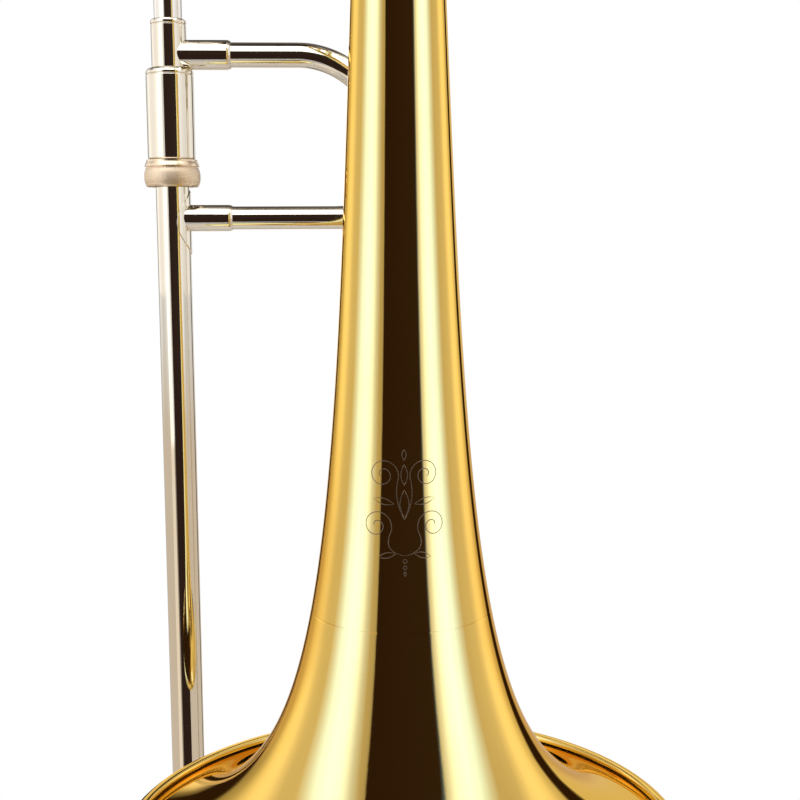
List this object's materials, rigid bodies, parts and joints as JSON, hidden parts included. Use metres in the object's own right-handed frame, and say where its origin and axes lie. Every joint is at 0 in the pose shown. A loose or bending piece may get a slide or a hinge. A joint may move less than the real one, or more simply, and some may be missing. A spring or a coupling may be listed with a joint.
{
  "type": "trombone",
  "caption": "Straight tenor trombone standing bell down: flared bell section, bell-bow tuning slide, hand slide with curved and straight braces, water key and mouthpiece.",
  "frame": {"origin": "centre of the bell mouth, in the plane of its rim", "axes": "+Z along the bell's axis from the mouth up the stem to the tuning slide; the hand slide hangs at +Y, its mouthpiece leg at -X"},
  "size_m": [0.2143, 0.2389, 1.1691],
  "materials": {
    "lacquered_brass": "polished, clear lacquered",
    "nickel_silver": "polished",
    "silver_plate": "mirror polished",
    "steel": "satin",
    "rubber": "matte",
    "cork": "natural",
    "felt": "felt"
  },
  "bodies": {
    "bell_section": {"bell_flare": "lacquered_brass", "bell_stem": "lacquered_brass", "rim_wire": "steel", "stem_ferrule": "nickel_silver", "stem_slide_tube": "lacquered_brass", "neck_slide_tube": "lacquered_brass", "neck_ferrule": "nickel_silver", "neckpipe": "lacquered_brass", "bell_receiver": "nickel_silver", "upper_bell_brace": "lacquered_brass", "upper_bell_brace_stem_foot": "lacquered_brass", "upper_bell_brace_neck_foot": "lacquered_brass", "lower_bell_brace": "lacquered_brass", "lower_bell_brace_stem_foot": "lacquered_brass", "lower_bell_brace_neck_foot": "lacquered_brass"},
    "tuning_slide": {"tuning_leg_stem": "nickel_silver", "tuning_leg_neck": "nickel_silver", "tuning_ferrule_stem": "nickel_silver", "tuning_ferrule_neck": "nickel_silver", "tuning_bow": "lacquered_brass", "tuning_brace": "lacquered_brass"},
    "lock_collar": {"retaining_ring": "steel"},
    "lock_nut": {"bell_lock_nut": "nickel_silver"},
    "inner_slide": {"tenon": "nickel_silver", "inner_tube_mouth": "nickel_silver", "inner_tube_bell": "nickel_silver", "stocking_mouth": "nickel_silver", "stocking_bell": "nickel_silver", "cork_barrel_mouth": "nickel_silver", "cork_barrel_bell": "nickel_silver", "barrel_felt_mouth": "felt", "barrel_felt_bell": "felt", "barrel_ring_bell": "nickel_silver", "mouthpiece_receiver": "nickel_silver", "leadpipe": "lacquered_brass", "inner_brace": "nickel_silver", "inner_brace_socket": "nickel_silver"},
    "lock_ring": {"slide_lock_ring": "nickel_silver"},
    "outer_slide": {"outer_tube_mouth": "nickel_silver", "outer_tube_bell": "nickel_silver", "slide_collar_mouth": "nickel_silver", "slide_collar_bell": "nickel_silver", "outer_brace": "nickel_silver", "outer_brace_flange_mouth": "nickel_silver", "outer_brace_flange_bell": "nickel_silver", "bow_ferrule_mouth": "nickel_silver", "bow_ferrule_bell": "nickel_silver", "slide_bow": "nickel_silver", "bumper_cup": "nickel_silver", "slide_bumper": "rubber", "water_key_spout": "nickel_silver", "water_key_saddle": "nickel_silver", "water_key_pin": "steel"},
    "water_key": {"water_key_lever": "nickel_silver", "water_key_cork": "cork"},
    "mouthpiece": {"mouthpiece": "silver_plate"}
  },
  "joints": [
    {"name": "tuning_slide_pull", "type": "slide", "parent": "bell_section", "child": "tuning_slide", "axis": [0, 0, 1], "range_m": [0, 0.06]},
    {"name": "slide_section_release", "type": "slide", "parent": "bell_section", "child": "lock_collar", "axis": [0, 0, -1], "range_m": [0, 0.06]},
    {"name": "slide_section_angle", "type": "hinge", "parent": "lock_collar", "child": "inner_slide", "pos_m": [0, 0.117, 0.3], "axis": [0, 0, 1], "range_deg": [-30, 15]},
    {"name": "lock_nut_turn", "type": "hinge", "parent": "lock_collar", "child": "lock_nut", "pos_m": [0, 0.117, 0.3], "axis": [0, 0, 1], "continuous": true},
    {"name": "hand_slide", "type": "slide", "parent": "inner_slide", "child": "outer_slide", "axis": [0, 0, -1], "range_m": [0, 0.6]},
    {"name": "slide_lock_turn", "type": "hinge", "parent": "inner_slide", "child": "lock_ring", "pos_m": [-0.0924, 0.117, 0.2444], "axis": [0, 0, 1], "range_deg": [0, 45]},
    {"name": "water_key_press", "type": "hinge", "parent": "outer_slide", "child": "water_key", "pos_m": [0.01092, 0.117, -0.46007], "axis": [0, -1, 0], "range_deg": [0, 15], "stiffness_Nm_per_rad": 0.08, "springref_deg": -20.05},
    {"name": "mouthpiece_pull", "type": "slide", "parent": "inner_slide", "child": "mouthpiece", "axis": [0, 0, 1], "range_m": [0, 0.03]}
  ]
}
